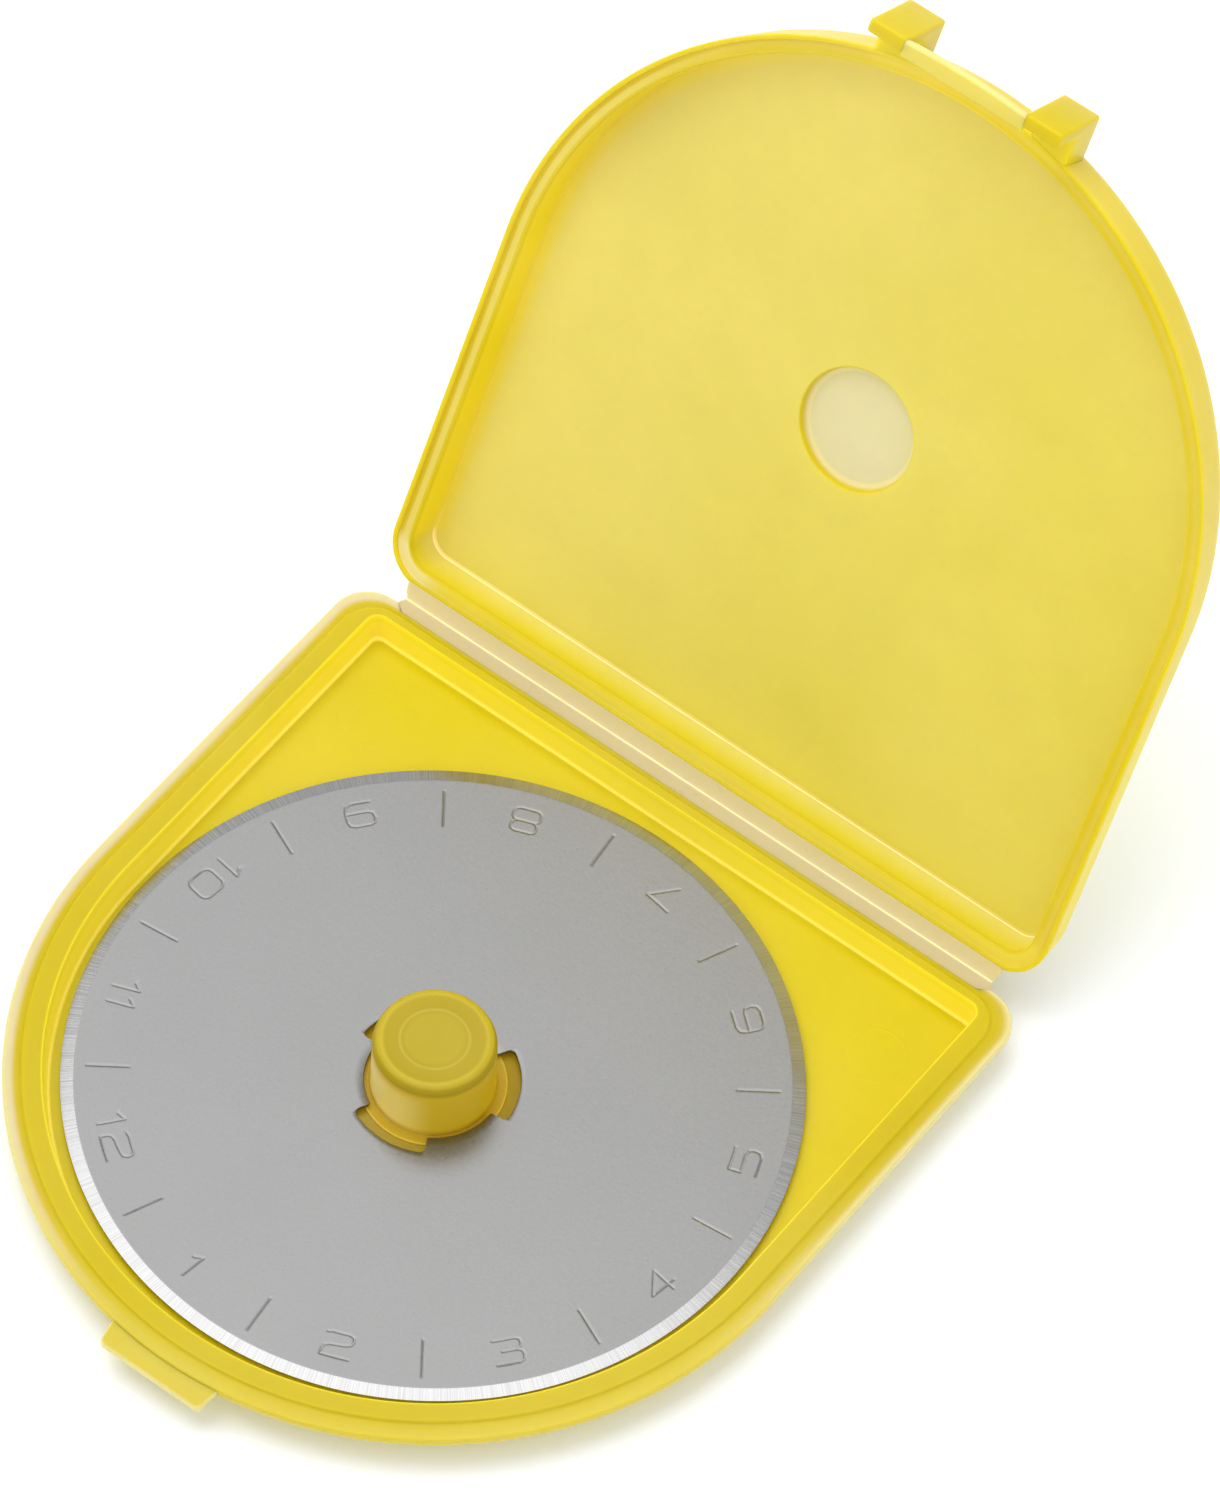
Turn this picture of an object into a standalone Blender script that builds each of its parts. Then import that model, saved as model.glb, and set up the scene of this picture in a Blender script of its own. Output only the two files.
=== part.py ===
"""Rotary cutter blade in its hinged clamshell case, standing open.

The case is one polypropylene moulding: a shallow D-shaped tray and a shallow
D-shaped lid, joined along their straight sides by a thin living hinge.  A
hollow-topped post in the middle of the tray carries the round blade.  Two
hooks at the far rim of the lid hold a thin latch bar between their tips; when
the case is closed the hooks straddle a thumb tab on the tray's flange and the
bar lies under it.

Frame: origin on the underside of the tray, below the centre of the blade;
+Z up, +Y from the blade towards the hinge, +X along the hinge.
Lengths below are in millimetres and are converted once, in mm().
"""

import math

import bpy
import bmesh
from mathutils import Matrix, Vector

# ----------------------------------------------------------------- dimensions
ARC_CENTRE_Y = -0.30       # centre of the round end of every D outline

# tray
FLOOR_TOP = 1.05           # upper surface of the tray floor
FLANGE_TOP = 2.95          # upper surface of the flange round the tray
FLANGE_THICK = 0.70
RIDGE_TOP = 3.15           # low ridge inside the flange that locates the lid
FLANGE_W = 25.78           # half width of the flange
RIDGE_OUT_W = 24.60
RIDGE_IN_W = 23.35
CREASE_W = 23.05           # half width of the floor at the foot of the wall
TRAY_BACK_Y = 24.60        # back of the ridge, on the hinge side
FLANGE_BACK_Y = 25.50      # flange ears on each side of the living hinge
EAR_X = 22.60              # the flange ears end here and the web starts
WEB_ROOT_Y = 25.08         # flange edge that the web grows out of

# thumb tab on the front of the flange
TAB_W = 4.00
TAB_TIP_W = 3.80
TAB_OUT_Y = -27.35
TAB_ROOT_Z = 2.72          # upper surface where it leaves the flange
TAB_TIP_Z = 2.50
TAB_THICK = 0.52

# post and the ledge that the blade rests on
COLLAR_R = 4.50
COLLAR_TOP = 1.24
POST_R = 3.80
POST_TOP = 6.10
POST_TOP_R = 3.20
DIMPLE_R = 2.05

# blade
BLADE_R = 22.50            # 45 mm blade
BLADE_T = 0.30
BLADE_Z = 1.35             # underside
BEVEL_W = 0.80
EDGE_T = 0.05
BORE_R = 4.20
NOTCH_R = 5.30
NOTCH_CENTRES = (33.0, 153.0, 273.0)
NOTCH_HALF = 29.5

# living hinge
HINGE_Y = 26.05            # fold line
HINGE_Z = FLANGE_TOP
OPEN_DEG = 117.508         # opening angle of the lid, from closed
WEB_T = 0.35
WEB_DROP = 0.05            # web surface below the fold line's plane
WEB_HALF = 22.50

# lid, in its own frame: X along the hinge, Y away from it, Z out of the hollow
LID_LIP_W = 25.10
LID_LIP_Y = 0.90           # hinge side of the lip, from the fold line
LID_LIP_IN = 0.35          # width of the lip's edge
LID_EDGE = -0.10           # edge of the lip
LID_LEDGE = -0.30          # step that sits over the tray's ridge
LID_WALL_IN = 1.25         # from the lip's outside to the inner wall
LID_FACE = -2.70           # inside face of the lid's plate
LID_BACK = -3.60           # outside face
RECESS_R = 3.95
RECESS_FLOOR_R = 3.45
RECESS_FLOOR = -3.35

# hooks on the far rim of the lid
HOOK_X0, HOOK_X1 = 4.32, 7.00
HOOK_OUT_Y = 53.15
HOOK_IN_Y = 52.28          # inner face of the free half
HOOK_TIP = 1.95
HOOK_HEEL = -2.75

# thin bar between the hook tips that snaps under the thumb tab
BAR_BOTTOM = 1.50
BAR_BOW = 0.20             # how far its middle bows outward

GAP = 0.04                 # between pieces that are one moulding
ARC_STEPS = 36
CORNER_STEPS = 4
SIDE_STEPS = 4
BACK_STEPS = 8


def mm(v):
    return v * 0.001


# --------------------------------------------------------------- clean start
for old in list(bpy.data.objects):
    bpy.data.objects.remove(old, do_unlink=True)


# ------------------------------------------------------------------ materials
def srgb(r, g, b):
    def lin(c):
        c /= 255.0
        return c / 12.92 if c <= 0.04045 else ((c + 0.055) / 1.055) ** 2.4
    return (lin(r), lin(g), lin(b), 1.0)


def principled(name, colour, rough, metal=0.0):
    mat = bpy.data.materials.new(name)
    mat.use_nodes = True
    sock = mat.node_tree.nodes["Principled BSDF"].inputs
    sock["Base Color"].default_value = colour
    sock["Roughness"].default_value = rough
    sock["Metallic"].default_value = metal
    return mat


YELLOW = principled("case_polypropylene", srgb(234, 209, 55), 0.35)
PALE = principled("case_polypropylene_thin", srgb(230, 215, 160), 0.35)
STEEL = principled("blade_steel", srgb(182, 182, 186), 0.32, 1.0)


# -------------------------------------------------------------- mesh helpers
def d_ring(w, back, rc, z, ear=None):
    """D outline, counter-clockwise from the left end of its round end.

    w: half width and radius of the round end, back: y of the straight side,
    rc: radius of the two corners, ear: (x, y) where the straight side steps
    in to y between +-x, or None for a plain straight side.
    """
    pts = []
    for i in range(ARC_STEPS + 1):
        a = math.pi + math.pi * i / ARC_STEPS
        pts.append((w * math.cos(a), ARC_CENTRE_Y + w * math.sin(a)))
    low, high = ARC_CENTRE_Y, back - rc
    side = [low + (high - low) * k / SIDE_STEPS for k in range(1, SIDE_STEPS)]
    pts += [(w, y) for y in side]
    for i in range(CORNER_STEPS + 1):
        a = 0.5 * math.pi * i / CORNER_STEPS
        pts.append((w - rc + rc * math.cos(a), back - rc + rc * math.sin(a)))
    x_end, step_y = ear if ear else (w - rc - 0.10, back)
    inner = x_end - 0.08
    pts.append((x_end, back))
    for k in range(BACK_STEPS + 1):
        pts.append((inner - 2.0 * inner * k / BACK_STEPS, step_y))
    pts.append((-x_end, back))
    for i in range(CORNER_STEPS + 1):
        a = 0.5 * math.pi * (1.0 + i / CORNER_STEPS)
        pts.append((-w + rc + rc * math.cos(a), back - rc + rc * math.sin(a)))
    pts += [(-w, y) for y in reversed(side)]
    return [(x, y, z) for x, y in pts]


def lid_ring(inset, rc, h):
    """D outline in the lid's frame: straight side near the hinge."""
    ring = d_ring(LID_LIP_W - inset, HINGE_Y - LID_LIP_Y - inset, rc, h)
    return [(x, HINGE_Y - y, z) for x, y, z in reversed(ring)]


def circle_like(ring, r, z, cx=0.0, cy=0.0):
    """A circle with one point in the direction of each point of a ring."""
    out = []
    for x, y, _ in ring:
        a = math.atan2(y - cy, x - cx)
        out.append((cx + r * math.cos(a), cy + r * math.sin(a), z))
    return out


def loft(rings, cap_first=True, cap_last=True, close=False):
    """Skin a list of rings with equal point counts into one mesh."""
    bm = bmesh.new()
    rows = [[bm.verts.new(Vector(p) * 0.001) for p in ring] for ring in rings]
    count = len(rows[0])
    pairs = list(zip(rows[:-1], rows[1:]))
    if close:
        pairs.append((rows[-1], rows[0]))
    for lower, upper in pairs:
        for i in range(count):
            j = (i + 1) % count
            bm.faces.new((lower[i], lower[j], upper[j], upper[i]))
    if not close:
        if cap_first:
            bm.faces.new(list(reversed(rows[0])))
        if cap_last:
            bm.faces.new(rows[-1])
    bmesh.ops.recalc_face_normals(bm, faces=bm.faces)
    bmesh.ops.triangulate(bm, faces=bm.faces)
    return bm


def turned(profile, steps):
    """Solid of revolution about Z.  profile: (r, z) from the axis to the
    axis, its first and last points on the axis."""
    bm = bmesh.new()
    first = bm.verts.new((0.0, 0.0, mm(profile[0][1])))
    last = bm.verts.new((0.0, 0.0, mm(profile[-1][1])))
    rows = []
    for r, z in profile[1:-1]:
        rows.append([bm.verts.new((mm(r * math.cos(2 * math.pi * i / steps)),
                                   mm(r * math.sin(2 * math.pi * i / steps)),
                                   mm(z))) for i in range(steps)])
    for i in range(steps):
        j = (i + 1) % steps
        bm.faces.new((first, rows[0][j], rows[0][i]))
        bm.faces.new((last, rows[-1][i], rows[-1][j]))
        for a, b in zip(rows[:-1], rows[1:]):
            bm.faces.new((a[i], a[j], b[j], b[i]))
    bmesh.ops.recalc_face_normals(bm, faces=bm.faces)
    bmesh.ops.triangulate(bm, faces=bm.faces)
    return bm


def prism(outline_low, outline_high):
    return loft([outline_low, outline_high])


def make(name, bm, material, parent=None, smooth=True):
    mesh = bpy.data.meshes.new(name)
    bm.to_mesh(mesh)
    bm.free()
    mesh.materials.append(material)
    obj = bpy.data.objects.new(name, mesh)
    bpy.context.scene.collection.objects.link(obj)
    if parent:
        obj.parent = parent
    if smooth:
        mesh.shade_smooth()
        mesh.set_sharp_from_angle(angle=math.radians(35))
    return obj


def empty(name, location, rotation=(0.0, 0.0, 0.0)):
    obj = bpy.data.objects.new(name, None)
    obj.empty_display_size = mm(6)
    obj.location = [mm(v) for v in location]
    obj.rotation_euler = rotation
    bpy.context.scene.collection.objects.link(obj)
    return obj


# ----------------------------------------------------------------- base tray
under = FLANGE_TOP - FLANGE_THICK
EAR = (EAR_X, WEB_ROOT_Y)
tray = loft([
    d_ring(23.30, 23.70, 1.2, 0.0),
    d_ring(23.85, 24.10, 1.4, 0.16),
    d_ring(24.15, 24.30, 1.5, 0.50),
    d_ring(24.25, 24.40, 1.6, 0.90),
    d_ring(24.52, 24.70, 1.6, under - 0.06),
    d_ring(25.62, FLANGE_BACK_Y - 0.10, 2.4, under, EAR),
    d_ring(FLANGE_W, FLANGE_BACK_Y, 2.5, under + 0.16, EAR),
    d_ring(FLANGE_W, FLANGE_BACK_Y, 2.5, FLANGE_TOP - 0.12, EAR),
    d_ring(FLANGE_W - 0.12, FLANGE_BACK_Y - 0.08, 2.4, FLANGE_TOP, EAR),
    d_ring(RIDGE_OUT_W + 0.04, TRAY_BACK_Y + 0.02, 2.4, FLANGE_TOP),
    d_ring(RIDGE_OUT_W, TRAY_BACK_Y, 2.4, RIDGE_TOP - 0.05),
    d_ring(RIDGE_OUT_W - 0.06, TRAY_BACK_Y - 0.05, 2.35, RIDGE_TOP),
    d_ring(RIDGE_IN_W + 0.05, 24.00, 0.75, RIDGE_TOP),
    d_ring(RIDGE_IN_W, 23.95, 0.7, RIDGE_TOP - 0.05),
    d_ring(CREASE_W + 0.05, 23.72, 0.43, FLOOR_TOP + 0.15),
    d_ring(CREASE_W - 0.10, 23.57, 0.3, FLOOR_TOP),
])
make("base_tray", tray, YELLOW)

# ----------------------------------------------------------------- thumb tab
root_r = FLANGE_W + GAP


def tab_outline(inset, root_z, tip_z):
    """Rounded plate that grows out of the flange's round edge."""
    pts = []
    for i in range(9):
        x = (TAB_W - inset) * (-1.0 + 2.0 * i / 8)
        pts.append((x, ARC_CENTRE_Y - math.sqrt(root_r ** 2 - x ** 2), root_z))
    w, out, r = TAB_TIP_W - inset, TAB_OUT_Y + inset, 0.35
    for i in range(4):
        a = 0.5 * math.pi * i / 3
        pts.append((w - r + r * math.cos(a), out + r - r * math.sin(a), tip_z))
    for i in range(4):
        a = 0.5 * math.pi * (1 - i / 3)
        pts.append((-w + r - r * math.cos(a), out + r - r * math.sin(a), tip_z))
    return pts


make("thumb_tab", loft([
    tab_outline(0.10, TAB_ROOT_Z - TAB_THICK, TAB_TIP_Z - TAB_THICK),
    tab_outline(0.0, TAB_ROOT_Z - TAB_THICK + 0.10, TAB_TIP_Z - TAB_THICK + 0.10),
    tab_outline(0.0, TAB_ROOT_Z - 0.12, TAB_TIP_Z - 0.12),
    tab_outline(0.10, TAB_ROOT_Z, TAB_TIP_Z)]), YELLOW)

# ----------------------------------------------------------------- blade post
make("blade_post", turned([
    (0.0, FLOOR_TOP + GAP), (COLLAR_R, FLOOR_TOP + GAP), (COLLAR_R, COLLAR_TOP),
    (POST_R + 0.12, COLLAR_TOP), (POST_R, COLLAR_TOP + 0.15),
    (POST_R, POST_TOP - 0.60), (POST_R - 0.08, POST_TOP - 0.34),
    (POST_R - 0.28, POST_TOP - 0.10), (POST_TOP_R, POST_TOP),
    (DIMPLE_R, POST_TOP), (DIMPLE_R - 0.4, POST_TOP - 0.12),
    (0.0, POST_TOP - 0.15)], 36), YELLOW)

# ------------------------------------------------------- living hinge, on tray
def web_ring(x, y0, y1, z0, z1):
    return [(x, y0, z0), (x, y1, z0), (x, y1, z1), (x, y0, z1)]


def web(name, y0, y1, z1, parent):
    """Thin strip along X whose ends are slightly hollow."""
    z0 = z1 - WEB_T
    stations = [-WEB_HALF, -WEB_HALF + 0.25, 0.0, WEB_HALF - 0.25, WEB_HALF]
    rings = [web_ring(x, y0, y1, z0, z1) for x in stations]
    return make(name, loft(rings), PALE, parent, smooth=False)


web("hinge_web_base", WEB_ROOT_Y + GAP, HINGE_Y - 0.10,
    HINGE_Z - WEB_DROP, None)

# ---------------------------------------------------------------------- blade
def hole_radius():
    """(angle in degrees, radius) round the notched bore."""
    marks = []
    for c in NOTCH_CENTRES:
        marks += [(c - NOTCH_HALF - 1.2, BORE_R), (c - NOTCH_HALF, BORE_R + 0.12),
                  (c - NOTCH_HALF + 0.6, NOTCH_R - 0.35),
                  (c - NOTCH_HALF + 2.2, NOTCH_R - 0.08)]
        for k in range(7):
            marks.append((c - 24.0 + 8.0 * k, NOTCH_R))
        marks += [(c + NOTCH_HALF - 2.2, NOTCH_R - 0.08),
                  (c + NOTCH_HALF - 0.6, NOTCH_R - 0.35),
                  (c + NOTCH_HALF, BORE_R + 0.12), (c + NOTCH_HALF + 1.2, BORE_R)]
        for k in range(1, 7):
            marks.append((c + NOTCH_HALF + 1.2 + (120 - 2 * NOTCH_HALF - 2.4) * k / 7,
                          BORE_R))
    return sorted((a % 360.0, r) for a, r in marks)


def blade_ring(radius, z):
    """radius: a number, or None for the notched bore."""
    ring = []
    for a, r in hole_radius():
        rr = r if radius is None else radius
        ring.append((rr * math.cos(math.radians(a)), rr * math.sin(math.radians(a)), z))
    return ring


blade_axis = empty("blade_axis", (0.0, 0.0, BLADE_Z))
zb, zt, zm = 0.0, BLADE_T, 0.5 * BLADE_T
make("rotary_blade", loft([
    blade_ring(None, zt), blade_ring(BLADE_R - BEVEL_W, zt),
    blade_ring(BLADE_R, zm + 0.5 * EDGE_T), blade_ring(BLADE_R, zm - 0.5 * EDGE_T),
    blade_ring(BLADE_R - BEVEL_W, zb), blade_ring(None, zb)], close=True),
    STEEL, blade_axis)

# ------------------------------------------------------------------------ lid
lid_axis = empty("lid_axis", (0.0, HINGE_Y, HINGE_Z),
                 (math.radians(180.0 - OPEN_DEG), 0.0, 0.0))
LID_CENTRE_Y = HINGE_Y - ARC_CENTRE_Y       # centre of the lid's round end
RECESS_Y = HINGE_Y                          # recess faces the post when closed
face = lid_ring(LID_WALL_IN + 0.27, 1.3, LID_FACE)
lid = loft([
    lid_ring(1.25, 1.8, LID_BACK),
    lid_ring(0.88, 2.1, LID_BACK + 0.14),
    lid_ring(0.64, 2.4, LID_BACK + 0.38),
    lid_ring(0.46, 2.6, LID_BACK + 0.70),
    lid_ring(0.03, 3.0, LID_EDGE - 0.40),
    lid_ring(0.00, 3.0, LID_EDGE - 0.10),
    lid_ring(0.08, 2.9, LID_EDGE),
    lid_ring(LID_LIP_IN - 0.06, 2.6, LID_EDGE),
    lid_ring(LID_LIP_IN, 2.6, LID_EDGE - 0.05),
    lid_ring(LID_LIP_IN + 0.02, 2.6, LID_LEDGE),
    lid_ring(LID_WALL_IN - 0.08, 1.8, LID_LEDGE),
    lid_ring(LID_WALL_IN, 1.7, LID_LEDGE - 0.08),
    lid_ring(LID_WALL_IN + 0.15, 1.5, LID_FACE + 0.12),
    face,
    circle_like(face, RECESS_R, LID_FACE, 0.0, RECESS_Y),
    circle_like(face, RECESS_FLOOR_R, RECESS_FLOOR, 0.0, RECESS_Y),
])
make("lid_shell", lid, YELLOW, lid_axis)

web("hinge_web_lid", 0.10, LID_LIP_Y - GAP, -WEB_DROP, lid_axis)


# ---------------------------------------------------------------------- hooks
def hook(name, side):
    """Square-cornered block on the lid's far rim: its root follows the round
    wall, and its free half stands clear of the tray's flange."""
    def outline(h, root, inset):
        """root: radius of the round wall, or None for the flat inner face."""
        x0, x1, out_y = HOOK_X0 + inset, HOOK_X1 - inset, HOOK_OUT_Y - inset
        pts = []
        for i in range(5):
            x = x0 + (x1 - x0) * i / 4
            y = HOOK_IN_Y + inset if root is None else (
                LID_CENTRE_Y + math.sqrt(root ** 2 - x ** 2))
            pts.append((side * x, y, h))
        pts += [(side * x1, out_y, h), (side * x0, out_y, h)]
        return pts if side > 0 else list(reversed(pts))
    wall_low = LID_LIP_W - 0.33 + GAP
    wall_high = LID_LIP_W + GAP
    rings = [
        outline(HOOK_HEEL, wall_low, 0.12),
        outline(HOOK_HEEL + 0.12, wall_low, 0.0),
        outline(LID_EDGE - 0.55, wall_high, 0.0),
        outline(LID_EDGE - 0.10, wall_high, 0.0),
        outline(LID_EDGE, None, 0.0),
        outline(HOOK_TIP - 0.12, None, 0.0),
        outline(HOOK_TIP, None, 0.12),
    ]
    make(name, loft(rings), YELLOW, lid_axis, smooth=False)


hook("latch_hook_right", 1)
hook("latch_hook_left", -1)


# ------------------------------------------------------------------ latch bar
def bar_section(x):
    """Section of the bar at x: thin, its outer edge bowed and rounded."""
    bow = BAR_BOW * (1.0 - (x / (HOOK_X0 - GAP)) ** 2)
    low, top = BAR_BOTTOM, HOOK_TIP - 0.02
    inner, outer = HOOK_IN_Y + 0.02, HOOK_OUT_Y - 0.04 + bow
    return [(x, inner, low), (x, outer - 0.10, low), (x, outer, low + 0.10),
            (x, outer, top - 0.10), (x, outer - 0.10, top), (x, inner, top)]


bar_end = HOOK_X0 - GAP
make("latch_bar", loft([bar_section(bar_end * (-1.0 + k / 5.0)) for k in range(11)]),
     PALE, lid_axis, smooth=False)
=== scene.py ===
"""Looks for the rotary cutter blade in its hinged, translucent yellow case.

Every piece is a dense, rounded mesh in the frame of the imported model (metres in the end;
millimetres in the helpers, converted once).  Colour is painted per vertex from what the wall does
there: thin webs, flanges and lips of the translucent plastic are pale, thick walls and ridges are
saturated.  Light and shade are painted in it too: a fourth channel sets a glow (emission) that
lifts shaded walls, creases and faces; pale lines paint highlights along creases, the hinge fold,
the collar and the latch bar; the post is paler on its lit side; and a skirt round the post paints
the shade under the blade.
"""
import math

import bmesh
import bpy
import numpy as np
from mathutils import Matrix, Vector


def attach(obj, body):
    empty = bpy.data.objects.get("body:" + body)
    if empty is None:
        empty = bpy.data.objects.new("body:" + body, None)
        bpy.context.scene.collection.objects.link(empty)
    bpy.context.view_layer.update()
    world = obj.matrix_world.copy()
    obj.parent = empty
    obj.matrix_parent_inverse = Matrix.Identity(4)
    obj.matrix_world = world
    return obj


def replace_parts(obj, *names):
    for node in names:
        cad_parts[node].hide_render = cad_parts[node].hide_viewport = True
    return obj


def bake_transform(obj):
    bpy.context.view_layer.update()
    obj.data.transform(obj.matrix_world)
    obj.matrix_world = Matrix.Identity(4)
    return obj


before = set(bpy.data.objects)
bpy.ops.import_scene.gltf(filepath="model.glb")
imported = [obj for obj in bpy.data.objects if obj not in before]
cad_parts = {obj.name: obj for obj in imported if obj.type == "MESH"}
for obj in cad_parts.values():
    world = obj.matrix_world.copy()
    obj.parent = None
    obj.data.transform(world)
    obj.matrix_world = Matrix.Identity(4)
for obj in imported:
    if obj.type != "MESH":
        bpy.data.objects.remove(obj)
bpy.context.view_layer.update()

# ------------------------------------------------------------- main measures
YC = -0.30                      # centre of the round end of the D outlines
HINGE_Y, HINGE_Z = 26.05, 2.95  # fold line
OPEN = math.radians(117.508)
DV = np.array([0.0, -math.cos(OPEN), math.sin(OPEN)])     # lid: away from hinge
DN = np.array([0.0, -math.sin(OPEN), -math.cos(OPEN)])    # lid: out of the hollow
LIP_W, LIP_Y = 25.10, 0.90
BLADE_Z = 1.35


# ------------------------------------------------------------------- colours
def lin(c):
    c = c / 255.0
    return c / 12.92 if c <= 0.04045 else ((c + 0.055) / 1.055) ** 2.4


def tone(r, g, b, glow=0.0, gain=1.0):
    """Linear colour, and in the fourth channel a painted glow: the emission strength that stands
    in for light coming through the translucent wall from behind and lifts shade."""
    return [gain * lin(r), gain * lin(g), gain * lin(b), glow]


# the fourth number of each tone is a painted glow, an emission that lifts shade
SAT = tone(204, 185, 2, 0.06)
SAT_DEEP = tone(194, 172, 4, 0.05)
RIDGE = tone(190, 171, 2, 0.06)
# painted glow: the tray's walls are lifted out of their shade by a strong glow
WALL_PAINTED_GLOW = tone(232, 214, 54, 0.23)
WALL_LINE_PAINTED_GLOW = tone(232, 214, 40, 0.16)
# painted highlight: the pale, glowing line along the crease of wall and floor
CREASE_PAINTED_HIGHLIGHT = tone(244, 226, 100, 0.34)
FLANGE = tone(201, 190, 152, 0.03)
FLANGE_EDGE = tone(204, 196, 134, 0.05)
UNDER = tone(222, 206, 84, 0.10)
LIDFACE = tone(214, 201, 98, 0.08)
LIDFACE_DEEP = tone(210, 197, 64, 0.09)
LIDCREASE = tone(220, 203, 60, 0.10)
LIDWALL = tone(220, 200, 22, 0.13)
LIDBAND = tone(220, 204, 64, 0.10)
LIDPALE = tone(214, 198, 88, 0.09)
LIDCORNER = tone(220, 208, 136, 0.10)
LIDFAR = tone(206, 184, 0, 0.12)
LIDSIDE = tone(218, 201, 52, 0.10)
LIDNEAR = tone(216, 198, 58, 0.10)
# painted highlight: the lid's crease beside the hinge
LID_CREASE_PAINTED_HIGHLIGHT = tone(240, 222, 156, 0.20)
LIDSOFT = tone(212, 193, 60, 0.06)
LIDOUT = tone(204, 182, 3, 0.07)
RECESS_PALE = tone(201, 195, 164)
# painted highlight: the ring at the foot of the round recess
RECESS_RING_PAINTED_HIGHLIGHT = tone(216, 206, 160, 0.02)
TAB = tone(192, 177, 44, 0.05)
POST_SIDE = tone(206, 174, 22, 0.12)
# painted light: the post's side wall where the light falls on it
POST_LIT_SIDE = tone(228, 205, 112, 0.16)
POST_RIM = tone(170, 148, 12, 0.0)
POST_EDGE = tone(186, 169, 40)
POST_RING = tone(184, 166, 56)
POST_MID = tone(177, 158, 30)
POST_TOP = tone(172, 151, 14)
SHADE = tone(190, 152, 12, 0.10)
# painted highlight: the pale line along the top edge of the collar
COLLAR_EDGE_PAINTED_HIGHLIGHT = tone(222, 186, 60, 0.13)
WEB = tone(192, 176, 136, 0.04)
# painted glow: lifts the shade on the lid half of the web
WEB_LID_PAINTED_GLOW = tone(206, 190, 144, 0.14)
# painted highlight: the bright line along the fold of the web
WEB_FOLD_PAINTED_HIGHLIGHT = tone(246, 234, 182, 0.34)


# -------------------------------------------------------------- mesh helpers
def build(name, verts, faces, tones, sharp=40.0):
    """verts in mm.  tones: one linear RGB per vertex, with the painted glow (emission strength)
    as a fourth number.
    """
    mesh = bpy.data.meshes.new(name)
    mesh.from_pydata((np.asarray(verts, float) * 0.001).tolist(), [], faces)
    attr = mesh.color_attributes.new(name="tone", type="FLOAT_COLOR", domain="POINT")
    col = np.ones((len(mesh.vertices), 4), np.float32)
    col[:] = np.clip(np.asarray(tones, float), 0.0, 1.0)
    attr.data.foreach_set("color", col.ravel())
    bm = bmesh.new()
    bm.from_mesh(mesh)
    bmesh.ops.recalc_face_normals(bm, faces=bm.faces)
    bm.to_mesh(mesh)
    bm.free()
    mesh.shade_smooth()
    mesh.set_sharp_from_angle(angle=math.radians(sharp))
    obj = bpy.data.objects.new(name, mesh)
    bpy.context.scene.collection.objects.link(obj)
    return obj


def grid(rows, wrap=True, cap_first=False, cap_last=False, base=0, close=False):
    """Faces that skin a (rows, columns) grid of vertices."""
    nr, nc = rows
    faces = []
    pairs = [(i, i + 1) for i in range(nr - 1)] + ([(nr - 1, 0)] if close else [])
    for i, k in pairs:
        for j in range(nc if wrap else nc - 1):
            m = (j + 1) % nc
            faces.append((base + i * nc + j, base + i * nc + m,
                          base + k * nc + m, base + k * nc + j))
    if cap_first:
        faces.append(tuple(base + j for j in reversed(range(nc))))
    if cap_last:
        faces.append(tuple(base + (nr - 1) * nc + j for j in range(nc)))
    return faces


def rounded(keys, width=0, height=4, steps=5):
    """Round the corners of a profile.  keys: (vector, radius); the vectors
    carry outline parameters and colour together, so both run on smoothly."""
    keys = [(np.asarray(v, float), r) for v, r in keys]
    out = [keys[0][0]]
    for (p0, _), (p1, r), (p2, _) in zip(keys[:-2], keys[1:-1], keys[2:]):
        if r <= 0.0:
            out.append(p1)
            continue
        d0 = math.hypot(p0[width] - p1[width], p0[height] - p1[height])
        d2 = math.hypot(p2[width] - p1[width], p2[height] - p1[height])
        q0 = p1 + (p0 - p1) * min(r, 0.49 * d0) / max(d0, 1e-9)
        q2 = p1 + (p2 - p1) * min(r, 0.49 * d2) / max(d2, 1e-9)
        for k in range(steps + 1):
            t = k / steps
            out.append((1 - t) ** 2 * q0 + 2 * t * (1 - t) * p1 + t * t * q2)
    out.append(keys[-1][0])
    return out


def smooth(t):
    t = np.clip(t, 0.0, 1.0)
    return t * t * (3.0 - 2.0 * t)


# stations of the straight side, denser where the flange ears step in
BACK = np.concatenate([[23.28, 23.05], np.linspace(22.86, 22.34, 9),
                       np.linspace(22.0, -22.0, 61),
                       np.linspace(-22.34, -22.86, 9), [-23.05, -23.28]])


def d_xy(w, back, mid, rc):
    """D outline, counter-clockwise from the left end of the round end."""
    a = np.linspace(math.pi, 2 * math.pi, 151)
    arc = np.c_[w * np.cos(a), YC + w * np.sin(a)]
    y = np.linspace(YC, back - rc, 14)[1:-1]
    a = np.linspace(0.0, 0.5 * math.pi, 13)[:-1]
    cor = np.c_[w - rc + rc * np.cos(a), back - rc + rc * np.sin(a)]
    step = smooth((22.86 - np.abs(BACK)) / 0.52)
    strip = np.c_[BACK * (w - rc) / 23.28, back - (back - mid) * step]
    left = cor[::-1] * [-1.0, 1.0]
    return np.vstack([arc, np.c_[np.full(12, w), y], cor, strip, left,
                      np.c_[np.full(12, -w), y[::-1]]])


def to_lid(p):
    """(x, v, h) in the lid's frame to the model's frame, in mm."""
    p = np.asarray(p, float)
    return (np.array([0.0, HINGE_Y, HINGE_Z]) + p[..., 0:1] * [1.0, 0.0, 0.0]
            + p[..., 1:2] * DV + p[..., 2:3] * DN)


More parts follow.
